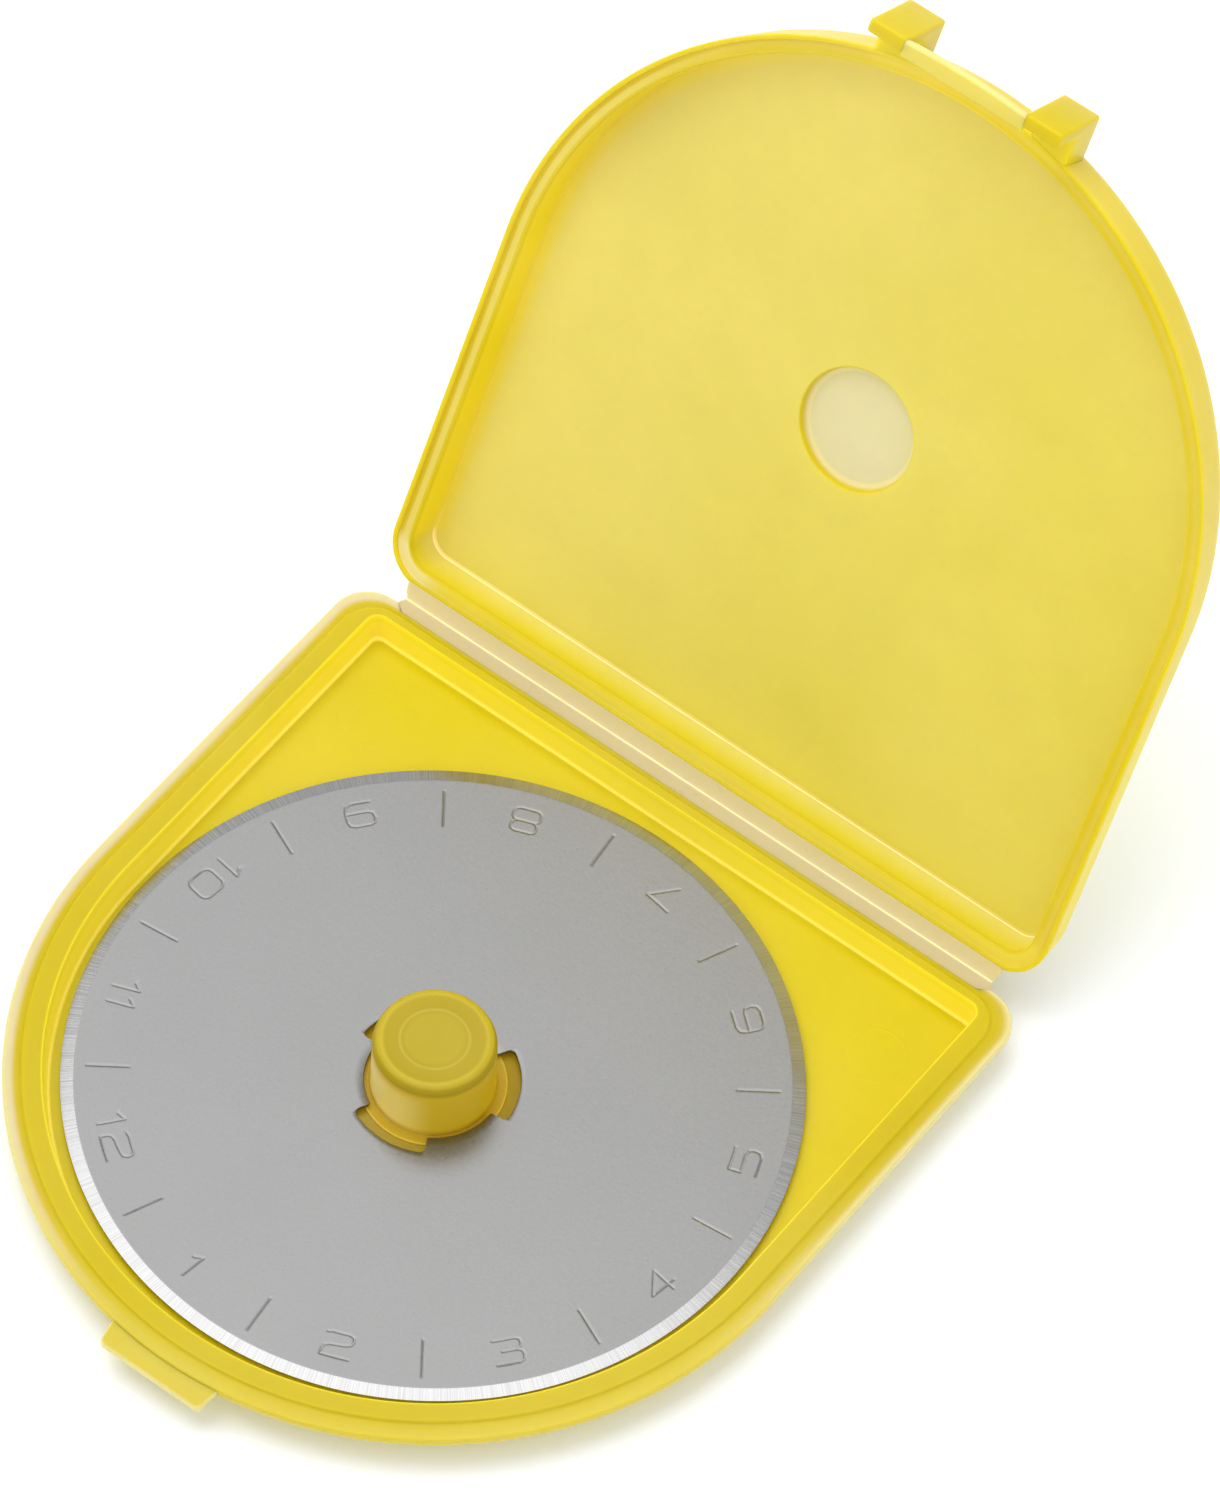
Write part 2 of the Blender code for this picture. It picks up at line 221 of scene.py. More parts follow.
# ----------------------------------------------------------------- materials
def new_material(name):
    mat = bpy.data.materials.new(name)
    mat.use_nodes = True
    tree = mat.node_tree
    bsdf = tree.nodes["Principled BSDF"]
    return mat, tree, tree.nodes, tree.links, bsdf


def noise(nodes, links, coord, scale, detail=2.0, rough=0.5):
    n = nodes.new("ShaderNodeTexNoise")
    n.inputs["Scale"].default_value = scale
    n.inputs["Detail"].default_value = detail
    n.inputs["Roughness"].default_value = rough
    links.new(coord, n.inputs["Vector"])
    return n.outputs["Fac"]


def ranged(nodes, links, value, a, b, c, d):
    n = nodes.new("ShaderNodeMapRange")
    for key, v in zip(("From Min", "From Max", "To Min", "To Max"), (a, b, c, d)):
        n.inputs[key].default_value = v
    links.new(value, n.inputs["Value"])
    return n.outputs["Result"]


def mixed(nodes, links, fac, a, b, blend="MIX"):
    n = nodes.new("ShaderNodeMix")
    n.data_type = "RGBA"
    n.blend_type = blend
    n.clamp_factor = True
    for sock, val in ((n.inputs[0], fac), (n.inputs[6], a), (n.inputs[7], b)):
        if hasattr(val, "is_linked") or hasattr(val, "links"):
            links.new(val, sock)
        else:
            sock.default_value = val
    return n.outputs[2]


def pin_rings(nodes, links, coord, centres, radius=0.0019, width=0.00014):
    """Relief of the faint raised rings that ejector pins leave."""
    total = None
    for c in centres:
        dist = nodes.new("ShaderNodeVectorMath")
        dist.operation = "DISTANCE"
        dist.inputs[1].default_value = c
        links.new(coord, dist.inputs[0])
        comp = ranged(nodes, links, dist.outputs["Value"], radius - width, radius, 0.0, 1.0)
        fall = ranged(nodes, links, dist.outputs["Value"], radius, radius + width, 1.0, 0.0)
        both = nodes.new("ShaderNodeMath")
        both.operation = "MULTIPLY"
        links.new(comp, both.inputs[0])
        links.new(fall, both.inputs[1])
        if total is None:
            total = both.outputs[0]
        else:
            add = nodes.new("ShaderNodeMath")
            add.operation = "ADD"
            links.new(total, add.inputs[0])
            links.new(both.outputs[0], add.inputs[1])
            total = add.outputs[0]
    return total


def plastic(name, mottle, pale, rough=0.33, weight=0.18, pins=(), gloss=0.30):
    """Translucent moulded polypropylene: the painted tone, broken up by soft flow mottling, with
    a very fine moulded grain.  The tone's fourth channel is a painted glow, fed to emission."""
    mat, tree, nodes, links, bsdf = new_material(name)
    coord = nodes.new("ShaderNodeTexCoord").outputs["Object"]
    att = nodes.new("ShaderNodeVertexColor")
    att.layer_name = "tone"
    big = ranged(nodes, links, noise(nodes, links, coord, 62.0, 2.0), 0.36, 0.68, 0.0, pale)
    mid = noise(nodes, links, coord, 300.0, 4.0, 0.62)
    base = mixed(nodes, links, big, att.outputs["Color"], (*tone(246, 232, 150)[:3], 1.0))
    grey = ranged(nodes, links, mid, 0.3, 0.7, 1.0 - mottle, 1.0 + 0.25 * mottle)
    comb = nodes.new("ShaderNodeCombineColor")
    for k in range(3):
        links.new(grey, comb.inputs[k])
    base = mixed(nodes, links, 1.0, base, comb.outputs[0], "MULTIPLY")
    links.new(base, bsdf.inputs["Base Color"])
    links.new(ranged(nodes, links, mid, 0.25, 0.75, rough - 0.05, rough + 0.07),
              bsdf.inputs["Roughness"])
    bsdf.inputs["IOR"].default_value = 1.49
    bsdf.inputs["Specular IOR Level"].default_value = gloss
    bsdf.inputs["Subsurface Weight"].default_value = weight
    bsdf.inputs["Subsurface Radius"].default_value = (1.0, 0.72, 0.12)
    bsdf.inputs["Subsurface Scale"].default_value = 0.0016
    bump = nodes.new("ShaderNodeBump")
    bump.inputs["Strength"].default_value = 0.05
    bump.inputs["Distance"].default_value = 0.00004
    links.new(noise(nodes, links, coord, 2600.0, 2.0), bump.inputs["Height"])
    normal = bump.outputs["Normal"]
    if pins:
        rings = nodes.new("ShaderNodeBump")
        rings.inputs["Strength"].default_value = 0.5
        rings.inputs["Distance"].default_value = 0.000012
        links.new(pin_rings(nodes, links, coord, pins), rings.inputs["Height"])
        links.new(normal, rings.inputs["Normal"])
        normal = rings.outputs["Normal"]
    links.new(normal, bsdf.inputs["Normal"])
    # painted glow: the tone's colour shines as emission, as strong as its fourth channel
    links.new(base, bsdf.inputs["Emission Color"])
    links.new(att.outputs["Alpha"], bsdf.inputs["Emission Strength"])
    return mat


def mm3(p):
    return tuple(float(v) * 0.001 for v in p)


PLASTIC = plastic("polypropylene_translucent_painted_glow", 0.025, 0.06, 0.33, 0.55,
                  [mm3((-19.6, 18.4, 1.05)), mm3((19.6, 18.4, 1.05))], 0.20)
PLASTIC_FACE = plastic("polypropylene_plate_painted_glow", 0.025, 0.12, 0.35, 0.55,
                       [mm3(to_lid([x, v, -2.70])) for x, v in
                        ((0.0, 44.3), (19.2, 6.1), (-19.2, 6.1))], 0.20)
PLASTIC_THIN = plastic("polypropylene_thin_painted_glow", 0.02, 0.05, 0.30, 0.55)


def steel():
    """Tool steel: satin rolled face with fine grain, and a ground bevel whose
    marks run across it.  The red channel of the tone marks the bevel."""
    mat, tree, nodes, links, bsdf = new_material("blade_steel_ground")
    coord = nodes.new("ShaderNodeTexCoord").outputs["Object"]
    att = nodes.new("ShaderNodeVertexColor")
    att.layer_name = "tone"
    split = nodes.new("ShaderNodeSeparateColor")
    links.new(att.outputs["Color"], split.inputs[0])
    mask = split.outputs[0]
    # across-the-bevel grinding marks: noise along the direction only
    flat = nodes.new("ShaderNodeVectorMath")
    flat.operation = "MULTIPLY"
    flat.inputs[1].default_value = (1.0, 1.0, 0.0)
    links.new(coord, flat.inputs[0])
    unit = nodes.new("ShaderNodeVectorMath")
    unit.operation = "NORMALIZE"
    links.new(flat.outputs[0], unit.inputs[0])
    streak = noise(nodes, links, unit.outputs[0], 260.0, 3.0, 0.7)
    grain = noise(nodes, links, coord, 5200.0, 3.0, 0.6)
    cloud = noise(nodes, links, coord, 90.0, 2.0)
    face = ranged(nodes, links, grain, 0.25, 0.75, 0.213, 0.255)
    cloudy = ranged(nodes, links, cloud, 0.3, 0.7, 0.985, 1.015)
    mul = nodes.new("ShaderNodeMath")
    mul.operation = "MULTIPLY"
    links.new(face, mul.inputs[0])
    links.new(cloudy, mul.inputs[1])
    bev = ranged(nodes, links, streak, 0.28, 0.72, 0.29, 0.46)
    cf = nodes.new("ShaderNodeCombineColor")
    cb = nodes.new("ShaderNodeCombineColor")
    for k in range(3):
        links.new(mul.outputs[0], cf.inputs[k])
        links.new(bev, cb.inputs[k])
    links.new(mixed(nodes, links, mask, cf.outputs[0], cb.outputs[0]),
              bsdf.inputs["Base Color"])
    bsdf.inputs["Metallic"].default_value = 1.0
    rough = nodes.new("ShaderNodeMix")
    rough.data_type = "FLOAT"
    links.new(mask, rough.inputs[0])
    links.new(ranged(nodes, links, grain, 0.25, 0.75, 0.27, 0.36), rough.inputs[2])
    links.new(ranged(nodes, links, streak, 0.25, 0.75, 0.14, 0.26), rough.inputs[3])
    links.new(rough.outputs[0], bsdf.inputs["Roughness"])
    height = nodes.new("ShaderNodeMix")
    height.data_type = "FLOAT"
    links.new(mask, height.inputs[0])
    links.new(grain, height.inputs[2])
    links.new(streak, height.inputs[3])
    bump = nodes.new("ShaderNodeBump")
    bump.inputs["Strength"].default_value = 0.16
    bump.inputs["Distance"].default_value = 0.00003
    links.new(height.outputs[0], bump.inputs["Height"])
    links.new(bump.outputs["Normal"], bsdf.inputs["Normal"])
    return mat


STEEL = steel()


def dress(obj, material, body, slot, *nodes):
    obj.data.materials.append(material)
    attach(obj, body)
    if nodes:
        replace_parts(obj, *nodes)
    return obj


# ---------------------------------------------------------------- tray of base
def key(w, back, mid, rc, z, colour, r=0.0):
    return (np.array([w, back, mid, rc, z, *colour]), r)


tray_keys = [
    key(22.60, 23.00, 23.00, 0.9, 0.00, SAT),
    key(23.72, 24.02, 24.02, 1.3, 0.00, SAT, 0.75),
    key(24.26, 24.42, 24.42, 1.6, 0.95, SAT, 0.30),
    key(24.46, 24.62, 24.62, 1.6, 1.90, WALL_PAINTED_GLOW),
    key(24.54, 24.70, 24.70, 1.7, 2.25, UNDER, 0.22),
    key(25.10, 25.05, 24.88, 2.1, 2.25, FLANGE),
    key(25.78, 25.50, 25.08, 2.5, 2.25, FLANGE, 0.20),
    key(25.78, 25.50, 25.08, 2.5, 2.60, FLANGE_EDGE),
    key(25.78, 25.50, 25.08, 2.5, 2.95, FLANGE_EDGE, 0.16),
    key(25.32, 25.14, 24.93, 2.5, 2.95, FLANGE),
    key(25.00, 24.92, 24.84, 2.45, 2.95, RIDGE),
    key(24.72, 24.70, 24.70, 2.4, 2.96, RIDGE, 0.12),
    key(24.60, 24.60, 24.60, 2.4, 3.15, RIDGE, 0.10),
    key(24.30, 24.45, 24.45, 2.1, 3.15, RIDGE),
    key(23.50, 24.04, 24.04, 0.95, 3.15, RIDGE),
    # the inner wall rows carry a strong painted glow that lifts their shade
    key(23.36, 23.97, 23.97, 0.80, 3.15, WALL_LINE_PAINTED_GLOW, 0.13),
    key(23.30, 23.92, 23.92, 0.75, 2.70, WALL_LINE_PAINTED_GLOW),
    key(23.27, 23.89, 23.89, 0.72, 2.45, WALL_PAINTED_GLOW),
    key(23.12, 23.75, 23.75, 0.60, 1.32, WALL_PAINTED_GLOW),
    # painted highlight along the crease where the inner wall meets the floor
    key(23.06, 23.70, 23.70, 0.55, 1.05, CREASE_PAINTED_HIGHLIGHT, 0.16),
    key(22.86, 23.52, 23.52, 0.50, 1.05, SAT),
    key(21.60, 22.30, 22.30, 0.40, 1.05, SAT),
]
rows = rounded(tray_keys)
verts, tones = [], []
FRONT = np.array(tone(195, 178, 30, 0.06))
for p in rows:
    xy = d_xy(p[0], p[1], p[2], p[3])
    verts.append(np.c_[xy, np.full(len(xy), p[4])])
    tint = np.tile(p[5:9], (len(xy), 1))
    if p[0] > 24.5 and 2.0 < p[4] < 3.0:
        # the flange is thicker, so deeper in colour, round its front
        ang = np.degrees(np.arctan2(xy[:, 1], xy[:, 0]))
        off = np.abs((ang + 55.0 + 180.0) % 360.0 - 180.0)
        f = (0.92 * smooth((80.0 - off) / 42.0))[:, None]
        tint = tint * (1 - f) + FRONT * f
    # painted glow: the ridge and flange top grow brighter towards the back
    if p[0] > 23.2 and p[4] > 2.9:
        tint[:, 3] += 0.06 * smooth((xy[:, 1] - 16.0) / 6.0)
    if 24.9 < p[0] < 25.60 and p[4] > 2.9:
        f = (0.9 * smooth((xy[:, 0] - 12.0) / 8.0) * smooth((xy[:, 1] + 4.0) / 12.0))[:, None]
        tint = tint * (1 - f) + np.array(RIDGE) * f
    if p[0] > 24.9 and p[4] > 2.3:
        # next to the web the flange is as thick, and as deep in colour, as the ridge
        f = (0.9 * smooth((xy[:, 1] - 24.0) / 0.4)
             * smooth((22.6 - np.abs(xy[:, 0])) / 0.6))[:, None]
        tint = tint * (1 - f) + np.array(RIDGE) * f
    tones.append(tint)
ncol = len(verts[0])
faces = grid((len(rows), ncol), cap_first=True, cap_last=True)
tray = build("tray", np.vstack(verts), faces, np.vstack(tones))
dress(tray, PLASTIC, "base", "case_polypropylene", "base_tray")


# ------------------------------------------------------------------ thumb tab
def plate(name, rings, tones, sharp=40.0):
    v = np.vstack(rings)
    n = len(rings[0])
    return build(name, v, grid((len(rings), n), cap_first=True, cap_last=True),
                 np.vstack([np.tile(t, (n, 1)) for t in tones]), sharp)


def tab_ring(inset, drop):
    """One level of the tab, its upper surface sloping down outwards."""
    pts = []
    w = 4.0 - inset
    root = 25.70
    for x in np.linspace(-w, w, 25):
        pts.append((x, YC - math.sqrt(root ** 2 - x ** 2)))
    wt, out, r = 3.82 - inset, -27.35 + inset, 0.42
    for t in np.linspace(0.15, 0.85, 5):
        pts.append((w + (wt - w) * t, YC - math.sqrt(root ** 2 - w ** 2) * (1 - t)
                    + (out + r - YC) * t))
    for a in np.linspace(0, 0.5 * math.pi, 8):
        pts.append((wt - r + r * math.cos(a), out + r - r * math.sin(a)))
    for a in np.linspace(0.5 * math.pi, 0, 8):
        pts.append((-wt + r - r * math.cos(a), out + r - r * math.sin(a)))
    for t in np.linspace(0.85, 0.15, 5):
        pts.append((-w + (w - wt) * t, YC - math.sqrt(root ** 2 - w ** 2) * (1 - t)
                    + (out + r - YC) * t))
    pts = np.array(pts)
    fall = smooth((-pts[:, 1] - 25.9) / 1.6)
    return np.c_[pts, 2.72 - 0.22 * fall - drop]


tab = plate("thumb_tab_piece",
            [tab_ring(i, d) for i, d in ((0.6, 0.52), (0.16, 0.52), (0.05, 0.48),
                                         (0.0, 0.40), (0.0, 0.14), (0.05, 0.05),
                                         (0.15, 0.0), (0.6, 0.0))],
            [UNDER, UNDER, UNDER, FLANGE_EDGE, FLANGE_EDGE, FLANGE_EDGE, TAB, TAB])
dress(tab, PLASTIC_THIN, "base", "case_polypropylene", "thumb_tab")


# ----------------------------------------------------------------- blade post
def turned(name, keys, steps=120, pale=None):
    rows = rounded(keys, 0, 1, 5)
    a = np.linspace(0, 2 * math.pi, steps, endpoint=False)
    v = np.vstack([np.c_[p[0] * np.cos(a), p[0] * np.sin(a), np.full(steps, p[1])]
                   for p in rows])
    t = np.vstack([np.tile(p[2:6], (steps, 1)) for p in rows])
    if pale:
        # painted light: the side wall is paler on the left, where the light falls
        turn = np.cos(np.arctan2(v[:, 1], v[:, 0]) + math.radians(122.0))
        f = (smooth((turn - 0.30) / 0.62) * smooth((5.5 - v[:, 2]) / 1.2)
             * smooth((v[:, 2] - 1.2) / 0.6) * (np.hypot(v[:, 0], v[:, 1]) > 3.6))[:, None]
        t = t * (1 - f) + np.array(pale) * f
    return build(name, v, grid((len(rows), steps), cap_first=True, cap_last=True), t)


def pk(r, z, colour, rad=0.0):
    return (np.array([r, z, *colour]), rad)


# the thin skirt from the collar out to r 6.6, lying on the tray floor, and the collar itself
# carry painted shade for the floor and collar in the blade's shadow
post = turned("post", [
    pk(5.0, 1.03, SHADE), pk(6.60, 1.03, SHADE, 0.01), pk(6.58, 1.062, SHADE, 0.01),
    pk(5.7, 1.065, SHADE), pk(4.56, 1.065, SHADE),
    pk(4.50, 1.08, SHADE), pk(4.50, 1.24, COLLAR_EDGE_PAINTED_HIGHLIGHT, 0.06), pk(4.36, 1.24, SHADE),
    pk(4.05, 1.24, SHADE), pk(3.84, 1.24, SHADE, 0.12),
    pk(3.80, 1.8, POST_SIDE), pk(3.80, 2.4, POST_SIDE), pk(3.79, 3.6, POST_SIDE),
    pk(3.78, 4.6, POST_SIDE), pk(3.78, 5.2, POST_SIDE),
    pk(3.77, 5.60, POST_RIM, 0.10), pk(3.58, 6.00, POST_RIM, 0.12),
    pk(3.22, 6.10, POST_EDGE, 0.08), pk(3.02, 6.07, POST_TOP),
    pk(2.25, 6.05, POST_TOP), pk(2.12, 6.066, POST_RING, 0.05),
    pk(1.98, 6.05, POST_TOP, 0.06), pk(1.70, 6.04, POST_MID), pk(0.5, 6.04, POST_MID)],
    pale=POST_LIT_SIDE)
dress(post, PLASTIC, "base", "case_polypropylene", "blade_post")


# ---------------------------------------------------------------- living hinge
def web_piece():
    """Thin strip folded along the hinge line.  Its section is a ribbon: base
    half level, lid half along the lid, a soft bend between."""
    a = np.array([HINGE_Y - 0.30, HINGE_Z - 0.20])
    b2 = to_lid([0.0, 0.30, -0.20])[1:]
    corner = np.array([HINGE_Y + 0.06, HINGE_Z - 0.21])
    line = [np.array([24.75, HINGE_Z - 0.20]), np.array([25.20, HINGE_Z - 0.20]),
            np.array([25.50, HINGE_Z - 0.20])]
    for t in np.linspace(0, 1, 13):
        line.append((1 - t) ** 2 * a + 2 * t * (1 - t) * corner + t * t * b2)
    for v in (0.55, 0.80, 1.10):
        line.append(to_lid([0.0, v, -0.20])[1:])
    line = np.array(line)
    n = len(line)
    tang = np.gradient(line, axis=0)
    tang /= np.linalg.norm(tang, axis=1)[:, None]
    norm = np.c_[-tang[:, 1], tang[:, 0]]
    s = np.arange(n) / (n - 1)
    fold = np.exp(-((s - 0.5) / 0.055) ** 2)
    half = 0.165 - 0.05 * fold
    up, down = line + norm * half[:, None], line - norm * half[:, None]
    ring = np.vstack([up, (up[-1:] + down[-1:]) / 2, down[::-1], (up[:1] + down[:1]) / 2])
    rs = np.concatenate([s, [1.0], s[::-1], [0.0]])
    # painted highlight: a pale line along the fold, full on the top side, half underneath
    fold_highlight = np.concatenate([fold, [0.0], fold[::-1] * 0.5, [0.0]])
    stations = np.concatenate([[-1.0, -0.9975, -0.992], np.linspace(-0.98, 0.98, 61),
                               [0.992, 0.9975, 1.0]])
    squeeze = [0.55, 0.85, 1.0] + [1.0] * 61 + [1.0, 0.85, 0.55]
    verts, tones = [], []
    reach = 22.86 - 0.30 * np.sin(math.pi * np.clip((rs - 0.08) / 0.84, 0, 1))
    mid = np.vstack([line, line[-1:], line[::-1], line[:1]])
    for u, q in zip(stations, squeeze):
        yz = mid + (ring - mid) * q
        verts.append(np.c_[u * reach, yz])
        # the lid half of the web carries a painted glow that lifts its shade
        shade = [np.array(WEB) * (1 - k) + np.array(WEB_LID_PAINTED_GLOW) * k
                 for k in smooth((rs - 0.40) / 0.15)]
        tones.append(np.array([c * (1 - f) + np.array(WEB_FOLD_PAINTED_HIGHLIGHT) * f
                               for c, f in zip(shade, fold_highlight)]))
    m = len(ring)
    return build("hinge_web", np.vstack(verts),
                 grid((len(stations), m), cap_first=True, cap_last=True),
                 np.vstack(tones), 50.0)


web = web_piece()
web.data.materials.append(PLASTIC_THIN)
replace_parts(web, "hinge_web_base", "hinge_web_lid")
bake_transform(web)


# ------------------------------------------------------------------------- lid
def lk(inset, rc, h, colour, r=0.0):
    back = HINGE_Y - LIP_Y - inset
    return key(LIP_W - inset, back, back, rc, h, colour, r)


lid_keys = [
    lk(2.60, 1.2, -3.60, LIDFACE_DEEP),
    lk(0.60, 2.4, -3.60, LIDWALL, 0.85),
    lk(0.40, 2.65, -2.55, LIDSIDE),
    lk(0.10, 2.9, -0.70, LIDSIDE),
    lk(0.03, 3.0, -0.30, LIDOUT),
    lk(0.00, 3.0, -0.10, LIDOUT, 0.12),
    lk(0.36, 2.6, -0.10, LIDOUT, 0.10),
    lk(0.38, 2.6, -0.30, LIDOUT, 0.05),
    lk(0.58, 2.4, -0.30, LIDOUT),
    lk(0.68, 2.3, -0.30, LIDPALE),
    lk(0.98, 2.0, -0.30, LIDPALE),
    lk(1.08, 1.9, -0.30, LIDOUT),
    lk(1.22, 1.8, -0.30, LIDOUT, 0.14),
    lk(1.26, 1.75, -0.80, LIDWALL),
    lk(1.36, 1.62, -2.30, LIDWALL),
    lk(1.42, 1.55, -2.70, LIDCREASE, 0.22),
    lk(1.58, 1.45, -2.70, LIDCREASE),
    lk(1.66, 1.38, -2.70, LIDCREASE),
    lk(2.60, 1.1, -2.70, LIDFACE),
    lk(3.60, 0.9, -2.70, LIDFACE),
    lk(7.00, 0.7, -2.70, LIDFACE),
]
rows = rounded(lid_keys)
verts, tones = [], []
outer = True
for p in rows:
    xy = d_xy(p[0], p[1], p[2], p[3])
    v = HINGE_Y - xy[:, 1]
    tint = np.tile(p[5:9], (len(xy), 1))
    inset, outer = LIP_W - p[0], outer and p[4] < -0.101
    near = smooth((4.2 - v) / 1.2)[:, None]
    # how far the rim turns towards the open right and far sides
    turn = 0.52 * xy[:, 0] / 25.0 + 0.85 * np.maximum(v - 26.35, 0.0) / 25.0
    f = smooth((turn + 0.05) / 0.45)[:, None] * (1.0 - near)
    if outer and p[4] > -3.3:
        # outside of the rim: deep in colour at the far end, paler near the hinge
        f = f * smooth((v - 12.0) / 16.0)[:, None]
        tint = tint * (1 - f) + np.array(LIDFAR) * f
    elif abs(p[4] + 0.30) < 0.04 and inset > 0.37:
        k = smooth((inset - 0.62) / 0.20)
        other = np.array(LIDSOFT) * (1 - k) + np.array(LIDOUT) * k
        tint = tint * (1 - f) + other * f
        if inset < 1.15:
            mid = smooth((22.6 + xy[:, 0]) / 2.2)[:, None]
            tone_near = np.array(LIDCORNER) * (1 - mid) + np.array(LIDNEAR) * mid
            tint = tint * (1 - near) + tone_near * near
    elif -2.66 < p[4] <= -0.34:
        tint = tint * (1 - near * [0.12, 0.10, 0.0, 0.45])
        g = near * smooth((-1.0 - p[4]) / 1.4)
        tint = tint * (1 - g) + np.array(LIDFACE) * g
    # painted highlight along the lid's crease beside the hinge
    if 1.37 < inset < 1.60 and p[4] < -2.60:
        tint = tint * (1 - near) + np.array(LID_CREASE_PAINTED_HIGHLIGHT) * near
    elif 1.60 <= inset < 2.5 and p[4] < -2.60:
        tint = tint * (1 - near) + np.array(LIDFACE) * near
    if p[4] < -0.34 and inset > 1.2:
        # painted glow, standing in for light through the rim: lifts the shaded wall on the left
        # and the plate beside it, and the plate along the crease on the right and far sides
        f = smooth((turn + 0.05) / 0.45)[:, None] * (1.0 - near)
        left = smooth((-turn - 0.10) / 0.35) * (1.0 - 0.5 * near[:, 0])
        tint[:, 3] += left * (0.10 if inset < 2.0 else 0.09 if inset < 4.0 else 0.03)
        if p[4] < -2.60:
            tint[:, 3] += f[:, 0] * (0.06 if inset < 4.0 else 0.03)
    verts.append(np.c_[xy[:, 0], v, np.full(len(xy), p[4])])
    tones.append(tint)
# round recess that faces the post when closed, and a paler field round it
last = verts[-1]
ang = np.arctan2(last[:, 1] - HINGE_Y, last[:, 0])
# the cream ring at the foot of the recess wall is a painted highlight
ring_keys = rounded([
    (np.array([12.0, -2.70, *LIDFACE]), 0), (np.array([6.0, -2.70, *LIDFACE]), 0),
    (np.array([4.12, -2.70, *LIDFACE]), 0), (np.array([3.98, -2.70, *SAT]), 0.07),
    (np.array([3.90, -3.00, *SAT]), 0), (np.array([3.82, -3.32, *RECESS_RING_PAINTED_HIGHLIGHT]), 0.10),
    (np.array([3.62, -3.35, *RECESS_RING_PAINTED_HIGHLIGHT]), 0.04),
    (np.array([3.50, -3.35, *RECESS_PALE]), 0), (np.array([0.6, -3.35, *RECESS_PALE]), 0)],
    0, 1, 5)
for p in ring_keys:
    if p[0] > 11.0:
        # half way between the D outline and a circle
        dist = np.hypot(last[:, 0], last[:, 1] - HINGE_Y)
        rr = np.minimum(0.55 * dist, 13.0)
    else:
        rr = np.full(len(ang), p[0])
    verts.append(np.c_[rr * np.cos(ang), HINGE_Y + rr * np.sin(ang), np.full(len(ang), p[1])])
    tones.append(np.tile(p[2:6], (len(ang), 1)))
nrow = len(verts)
faces = grid((nrow, ncol), cap_first=True, cap_last=True)
verts = np.vstack(verts)
tones = np.vstack(tones)
# the plate grows a little deeper in colour towards the hinge and the right
flatpart = (np.abs(verts[:, 2] + 2.70) < 0.03) & (np.abs(verts[:, 0]) < 23.5)
deep = 0.75 * smooth((0.55 + 0.018 * verts[:, 0] - 0.012 * (verts[:, 1] - 26.0)))
tones = np.where(flatpart[:, None],
                 tones * (1 - deep[:, None]) + np.array(LIDFACE_DEEP) * deep[:, None], tones)
# painted glow: the outside between the hooks, in the bar's shade, is lifted, standing in for
# light through the wall
far = (smooth((verts[:, 1] - 49.0) / 1.5) * (verts[:, 2] > -1.6)
       * (verts[:, 2] < -0.05) * smooth((8.0 - np.abs(verts[:, 0])) / 2.0))
tones[:, 3] += 0.22 * far
lid = build("lid_moulding", to_lid(verts), faces, tones)
dress(lid, PLASTIC_FACE, "lid", "case_polypropylene", "lid_shell")


# ---------------------------------------------------------- hooks and latch bar
def bevelled(name, verts, faces, tones, width, to_model=None):
    """Polygonal body with rounded edges."""
    obj = build(name, verts, faces, tones, 30.0)
    bm = bmesh.new()
    bm.from_mesh(obj.data)
    edges = [e for e in bm.edges
             if len(e.link_faces) == 2 and e.calc_face_angle(0.0) > math.radians(30)]
    bmesh.ops.bevel(bm, geom=edges, offset=width * 0.001, segments=3, profile=0.5,
                    affect="EDGES", clamp_overlap=True)
    bmesh.ops.recalc_face_normals(bm, faces=bm.faces)
    bm.to_mesh(obj.data)
    bm.free()
    obj.data.shade_smooth()
    obj.data.set_sharp_from_angle(angle=math.radians(50))
    return obj


HOOK_SIDE = tone(202, 182, 8, 0.05)
# painted glow: lifts the shade on the hooks' inner faces and the bar's ends beside them
HOOK_IN_PAINTED_GLOW = tone(214, 194, 20, 0.22)
HOOK_END = tone(200, 179, 5, 0.05)


def hook(name, side):
    xs = np.linspace(4.30, 7.00, 7)
    verts, tones = [], []
    for x in xs:
        root = 26.35 + math.sqrt(24.93 ** 2 - x ** 2)
        low = 26.35 + math.sqrt(24.60 ** 2 - x ** 2)
        sec = [(low, -2.75), (53.18, -2.75), (53.22, 1.95), (52.26, 1.95),
               (52.26, -0.10), (root, -0.10)]
        verts += [(side * x, v, h) for v, h in sec]
        tones += [HOOK_END, HOOK_END, HOOK_SIDE, HOOK_SIDE, HOOK_IN_PAINTED_GLOW, HOOK_IN_PAINTED_GLOW]
    obj = bevelled(name, to_lid(verts), grid((7, 6), cap_first=True, cap_last=True),
                   tones, 0.20)
    dress(obj, PLASTIC, "lid", "case_polypropylene")
    return obj


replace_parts(hook("hook_right", 1), "latch_hook_right")
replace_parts(hook("hook_left", -1), "latch_hook_left")

BAR_TOP = tone(214, 200, 88, 0.04)
